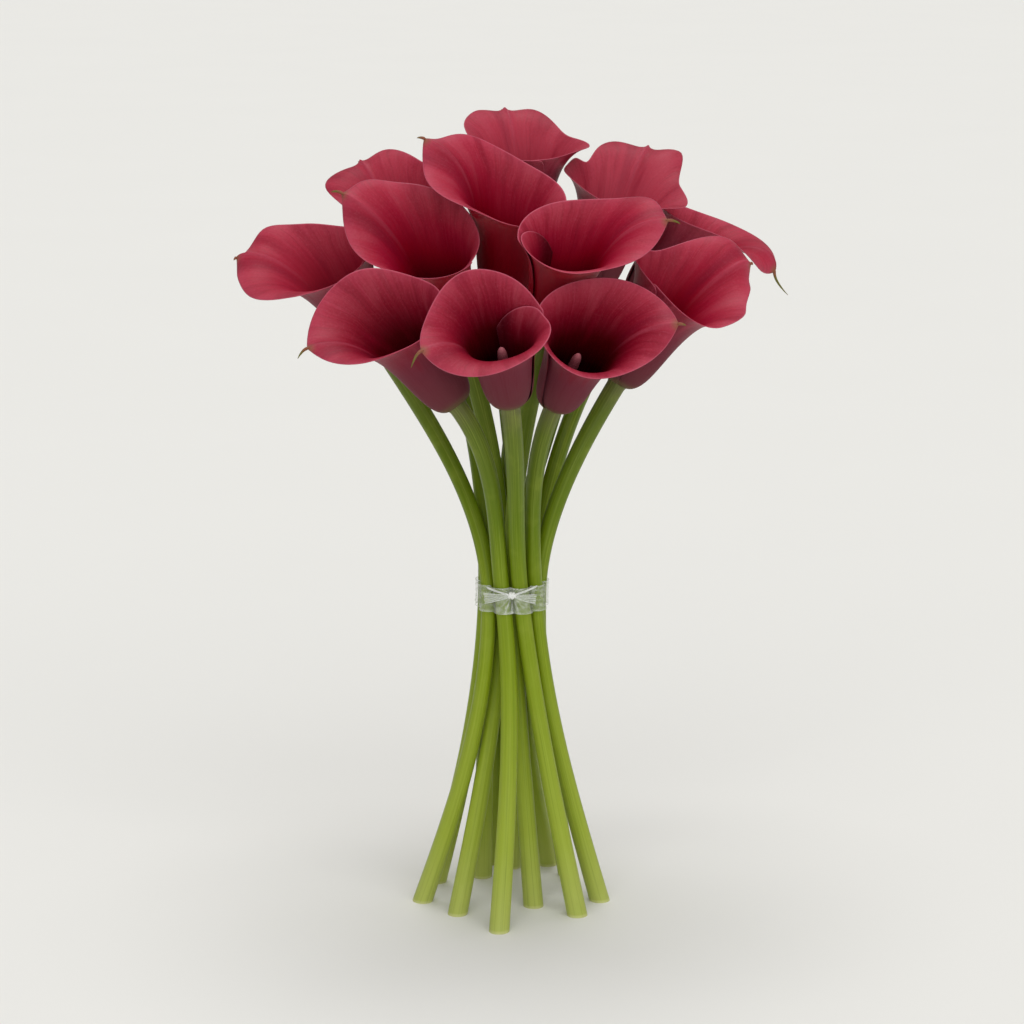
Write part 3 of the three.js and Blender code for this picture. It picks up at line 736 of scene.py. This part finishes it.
class Nodes:
    """Short names for the node calls that the materials below use."""

    def __init__(self, name):
        self.material = bpy.data.materials.new(name)
        self.material.use_nodes = True
        self.tree = self.material.node_tree
        self.shader = self.tree.nodes["Principled BSDF"]

    def node(self, kind, **values):
        n = self.tree.nodes.new(kind)
        for k, v in values.items():
            setattr(n, k, v)
        return n

    def feed(self, socket, value):
        """Links a node's output to a socket, or writes a plain value into it."""
        if isinstance(value, bpy.types.NodeSocket):
            self.tree.links.new(value, socket)
        else:
            socket.default_value = value

    def attr(self, name):
        return self.node("ShaderNodeAttribute", attribute_name=name).outputs["Fac"]

    def position(self):
        return self.node("ShaderNodeTexCoord").outputs["Object"]

    def math(self, op, *values, clamp=False):
        n = self.node("ShaderNodeMath", operation=op, use_clamp=clamp)
        for socket, value in zip(n.inputs, values):
            self.feed(socket, value)
        return n.outputs[0]

    def times(self, first, *others):
        for value in others:
            first = self.math("MULTIPLY", first, value)
        return first

    def plus(self, first, *others):
        for value in others:
            first = self.math("ADD", first, value)
        return first

    def step(self, value, low, high, to_low=0.0, to_high=1.0):
        n = self.node("ShaderNodeMapRange", interpolation_type="SMOOTHSTEP")
        self.feed(n.inputs["Value"], value)
        ends = {"From Min": low, "From Max": high, "To Min": to_low, "To Max": to_high}
        for k, v in ends.items():
            n.inputs[k].default_value = v
        return n.outputs["Result"]

    def vector(self, *values):
        n = self.node("ShaderNodeCombineXYZ")
        for socket, value in zip(n.inputs, values):
            self.feed(socket, value)
        return n.outputs[0]

    def noise(self, vector, scale, detail=3.0, rough=0.55):
        n = self.node("ShaderNodeTexNoise")
        self.feed(n.inputs["Vector"], vector)
        n.inputs["Scale"].default_value = scale
        n.inputs["Detail"].default_value = detail
        n.inputs["Roughness"].default_value = rough
        return n.outputs["Fac"]

    def ramp(self, value, stops):
        n = self.node("ShaderNodeValToRGB")
        elements = n.color_ramp.elements
        while len(elements) < len(stops):
            elements.new(0.5)
        for element, (share, colour) in zip(elements, stops):
            element.position = share
            element.color = srgb(*colour)
        self.feed(n.inputs["Fac"], value)
        return n.outputs["Color"]

    def mix(self, factor, a, b):
        n = self.node("ShaderNodeMix", data_type="RGBA")
        for socket, value in ((n.inputs[0], factor), (n.inputs[6], a), (n.inputs[7], b)):
            self.feed(socket, value)
        return n.outputs[2]

    def paint(self, under, colour, *amounts):
        """Lays an 8-bit colour over another by the product of the amounts."""
        return self.mix(self.times(*amounts), under, srgb(*colour))

    def bump(self, height, distance, strength):
        n = self.node("ShaderNodeBump")
        n.inputs["Distance"].default_value = distance
        n.inputs["Strength"].default_value = strength
        self.feed(n.inputs["Height"], height)
        self.feed(self.shader.inputs["Normal"], n.outputs["Normal"])

    def set(self, **values):
        for k, v in values.items():
            self.feed(self.shader.inputs[k.replace("_", " ")], v)


def petal_noises(m):
    """Veins, fine veins and broad streaks that run from neck to rim and waver, and a grain."""
    across, along, inside, seed = (m.attr(n) for n in ("across", "along", "inside", "seed"))
    waver = m.noise(m.vector(m.times(across, 3), m.times(along, 3), seed), 1.6, 2)
    vein = m.plus(m.times(across, VEINS), m.times(seed, VEIN_SHIFT), m.times(waver, 3.0))
    veins = m.noise(m.vector(vein, m.times(along, 1.3), inside), 1.0, 4, 0.62)
    fine = m.noise(m.vector(m.times(vein, 3.2), m.times(along, 5), inside), 1.0, 3, 0.6)
    broad = m.noise(m.vector(m.times(vein, 0.16), m.times(along, 1.4), seed), 1.0, 2)
    grain = m.noise(m.position(), 760, 3, 0.7)
    return veins, fine, broad, grain


def petal_ground(m, along, inside):
    """The colour of each side from neck to rim, with each flower's painted shade and painted
    light.
    """
    outer = m.mix(m.attr("deep_out"), m.ramp(along, OUTSIDE), m.ramp(along, PAINTED_SHADE_OUTSIDE))
    inner = m.mix(m.attr("dark_in"), m.ramp(along, INSIDE), m.ramp(along, PAINTED_SHADE_THROAT))
    inner = m.mix(m.attr("pale_in"), inner, m.ramp(along, PAINTED_LIGHT_INSIDE))
    return m.mix(inside, outer, inner)


def petal_midrib(m, colour, across, along):
    """Toward the tip the midrib has a pale line, a painted highlight, with a deeper band at one
    side, painted shade.
    """
    off_rib = m.math("ABSOLUTE", across)
    off_band = m.math("ABSOLUTE", m.math("SUBTRACT", across, 0.055))
    colour = m.paint(colour, (104, 8, 36), m.step(off_band, 0.045, 0.01),
                     m.step(along, 0.4, 0.75), 0.28)
    return m.paint(colour, (186, 84, 104), m.step(off_rib, 0.022, 0.004),
                   m.step(along, 0.45, 0.8), 0.25)


def petal_ends(m, colour):
    """A brown point, a green tail, and a green flush where the spathe leaves its stem."""
    tip = m.attr("tip_mm")
    colour = m.paint(colour, (124, 92, 58), m.step(tip, 6.0, 0.5, 0, 0.75))
    colour = m.paint(colour, (104, 104, 44), m.step(tip, -0.5, -4.0))
    return m.paint(colour, (104, 92, 62), m.step(m.attr("neck_mm"), 7.0, 1.5, 0, 0.6))


def petal_material():
    m = Nodes("spathe_crimson")
    across, along, inside = m.attr("across"), m.attr("along"), m.attr("inside")
    veins, fine, broad, grain = petal_noises(m)
    colour = petal_ground(m, along, inside)
    # pale veins are painted sheen on the lit part toward the rim, less on an outside painted in
    # shade; dark veins show everywhere
    deep = m.times(m.attr("deep_out"), m.math("SUBTRACT", 1.0, inside))
    lit_part = m.times(m.step(along, 0.5, 0.95), m.math("MULTIPLY_ADD", deep, -0.7, 1.0))
    colour = m.paint(colour, (180, 60, 86), m.step(veins, 0.42, 0.72), lit_part, 0.24)
    colour = m.paint(colour, (88, 0, 22), m.step(veins, 0.52, 0.30), 0.2)
    colour = m.paint(colour, (190, 84, 106), m.step(fine, 0.5, 0.75), lit_part, 0.18)
    # broad soft streaks, some paler as painted sheen on the lit part, and some deeper
    colour = m.paint(colour, (180, 74, 90), m.step(broad, 0.5, 0.72, 0, 0.34), lit_part)
    colour = m.paint(colour, (126, 0, 32), m.step(broad, 0.52, 0.3, 0, 0.5),
                     m.step(along, 0.4, 0.7))
    colour = petal_midrib(m, colour, across, along)
    # a thin pale rim that is a painted highlight, and painted shade on the margin that rolls
    # inside the mouth
    colour = m.paint(colour, (190, 96, 116), m.step(m.attr("rim_mm"), 0.8, 0.2, 0, 0.5),
                     m.step(along, 0.5, 0.85))
    rolled_shade = m.step(m.math("ABSOLUTE", across), 1.12, 1.32, 0, 0.8)
    colour = m.paint(colour, (56, 0, 8), rolled_shade, inside)
    colour = petal_ends(m, colour)
    # grain, some paler and some deeper, painted only on the lit part
    colour = m.paint(colour, (186, 92, 104), m.step(grain, 0.5, 0.72, 0, 0.14), lit_part)
    colour = m.paint(colour, (112, 0, 26), m.step(grain, 0.5, 0.28, 0, 0.16), lit_part)

    m.bump(m.plus(m.times(veins, 0.7), m.times(fine, 0.45)), 0.25 * MM, 0.5)
    m.set(Base_Color=colour, Roughness=m.step(veins, 0.3, 0.7, 0.42, 0.55),
          Specular_IOR_Level=m.step(along, 0.35, 0.95, 0.02, 0.15),
          Subsurface_Weight=0.1, Subsurface_Radius=(1.0, 0.22, 0.25), Subsurface_Scale=1.2 * MM)
    return m.material


def finger_material():
    m = Nodes("spadix_rose")
    along, around = m.attr("along"), m.attr("around")
    spots = m.noise(m.vector(m.times(around, 5), m.times(along, 40), m.attr("seed")), 1.0, 2)
    colour = m.paint(m.ramp(along, SPADIX), (190, 124, 122), m.step(spots, 0.4, 0.7, 0, 0.45),
                     m.step(along, 0.5, 1.0))
    m.bump(spots, 0.3 * MM, 0.5)
    m.set(Base_Color=colour, Roughness=0.72, Specular_IOR_Level=0.3)
    return m.material


def stem_material():
    m = Nodes("stem_green")
    along, around = m.attr("along"), m.attr("around")
    # the noise of the stripes is read on a circle, so they meet all the way round
    circle = m.vector(m.math("COSINE", around), m.math("SINE", around), m.attr("seed"))
    stretch = m.node("ShaderNodeVectorMath", operation="MULTIPLY_ADD")
    m.feed(stretch.inputs[0], circle)
    m.feed(stretch.inputs[1], (2.6, 2.6, 3.1))
    m.feed(stretch.inputs[2], m.vector(0.0, 0.0, m.times(along, 1.6)))
    stripes = m.noise(stretch.outputs[0], 2.6, 5, 0.6)
    mottle = m.noise(m.position(), 60, 3)
    colour = m.paint(m.ramp(along, STEM), (176, 190, 84), m.step(stripes, 0.48, 0.75, 0, 0.3))
    colour = m.paint(colour, (70, 98, 10), m.step(stripes, 0.5, 0.28, 0, 0.28))
    colour = m.paint(colour, (150, 164, 60), m.step(mottle, 0.5, 0.75, 0, 0.25))
    # the cut foot is paler at its edge, and its flesh is full of small cells
    colour = m.paint(colour, (206, 206, 150), m.step(m.attr("foot_mm"), 2.2, 0.3, 0, 0.6))
    cells = m.node("ShaderNodeTexVoronoi")
    m.feed(cells.inputs["Vector"], m.position())
    m.feed(cells.inputs["Scale"], 900)
    flesh = m.mix(m.step(cells.outputs["Distance"], 0.2, 0.6),
                  srgb(150, 164, 92), srgb(208, 212, 160))
    m.bump(stripes, 0.4 * MM, 0.25)
    m.set(Base_Color=m.mix(m.attr("cut"), colour, flesh), Specular_IOR_Level=0.2,
          Roughness=m.step(stripes, 0.3, 0.7, 0.36, 0.5),
          Subsurface_Weight=0.1, Subsurface_Radius=(0.6, 1.0, 0.3), Subsurface_Scale=1.5 * MM)
    return m.material


def film_material():
    m = Nodes("film_clear")
    haze = m.attr("haze")
    crinkle = m.noise(m.position(), 320, 4, 0.6)
    cover = m.math("ADD", haze, m.step(crinkle, 0.52, 0.75, 0, 0.3), clamp=True)
    m.bump(crinkle, 0.4 * MM, 0.5)
    m.set(Base_Color=m.ramp(haze, FILM), Alpha=m.times(cover, 0.85), Roughness=0.16,
          Specular_IOR_Level=0.8, Coat_Weight=0.4, Coat_Roughness=0.08)
    return m.material


# ---- the scene -----------------------------------------------------------------------------
def make_stage():
    m = Nodes("floor_pale")
    m.set(Base_Color=m.ramp(m.noise(m.position(), 3, 2), FLOOR), Roughness=0.9,
          Specular_IOR_Level=0.1)
    data = bpy.data.meshes.new("floor")
    h = FLOOR_HALF
    data.from_pydata([(-h, -h, 0), (h, -h, 0), (h, h, 0), (-h, h, 0)], [], [(0, 1, 2, 3)])
    data.materials.append(m.material)
    floor = bpy.data.objects.new("floor", data)
    bpy.context.scene.collection.objects.link(floor)


def make_room():
    """Even light from all sides. Past the edge of the floor the camera sees the floor's tone."""
    world = bpy.data.worlds.new("soft_room")
    bpy.context.scene.world = world
    world.use_nodes = True
    tree = world.node_tree
    room = tree.nodes["Background"]
    room.inputs["Color"].default_value = ROOM_COLOUR
    room.inputs["Strength"].default_value = ROOM_STRENGTH
    seen = tree.nodes.new("ShaderNodeBackground")
    seen.inputs["Color"].default_value = srgb(*BACKDROP)
    path = tree.nodes.new("ShaderNodeLightPath")
    either = tree.nodes.new("ShaderNodeMixShader")
    tree.links.new(path.outputs["Is Camera Ray"], either.inputs[0])
    tree.links.new(room.outputs[0], either.inputs[1])
    tree.links.new(seen.outputs[0], either.inputs[2])
    tree.links.new(either.outputs[0], tree.nodes["World Output"].inputs["Surface"])


def make_light(name, strength, width, tilt, turn):
    light = bpy.data.lights.new(name, "SUN")
    light.energy = strength
    light.angle = math.radians(width)
    lamp = bpy.data.objects.new(name, light)
    lamp.rotation_euler = (math.radians(tilt), 0, math.radians(turn))
    bpy.context.scene.collection.objects.link(lamp)


def make_camera():
    data = bpy.data.cameras.new("camera")
    data.sensor_width = SENSOR
    data.lens = CAMERA_FOCAL / FRAME_WIDTH * SENSOR
    data.clip_end = CAMERA_REACH
    camera = bpy.data.objects.new("camera", data)
    camera.location = (-SHIFT[0] * MM, (CAMERA_Y - SHIFT[1]) * MM, CAMERA_Z * MM)
    camera.rotation_euler = (math.radians(90 - CAMERA_PITCH), 0, 0)
    bpy.context.scene.collection.objects.link(camera)
    bpy.context.scene.camera = camera


make_camera()
make_stage()
make_room()
for settings in LIGHTS:
    make_light(*settings)
bpy.context.scene.view_settings.view_transform = "Standard"

petal, finger, green, film = petal_material(), finger_material(), stem_material(), film_material()
for number, (name, flower) in enumerate(FLOWERS.items()):
    make_spathe(name, flower, number, petal)
    make_spadix(name, flower, number, finger)
    make_stem(name, flower, number, green)
make_tie(film)
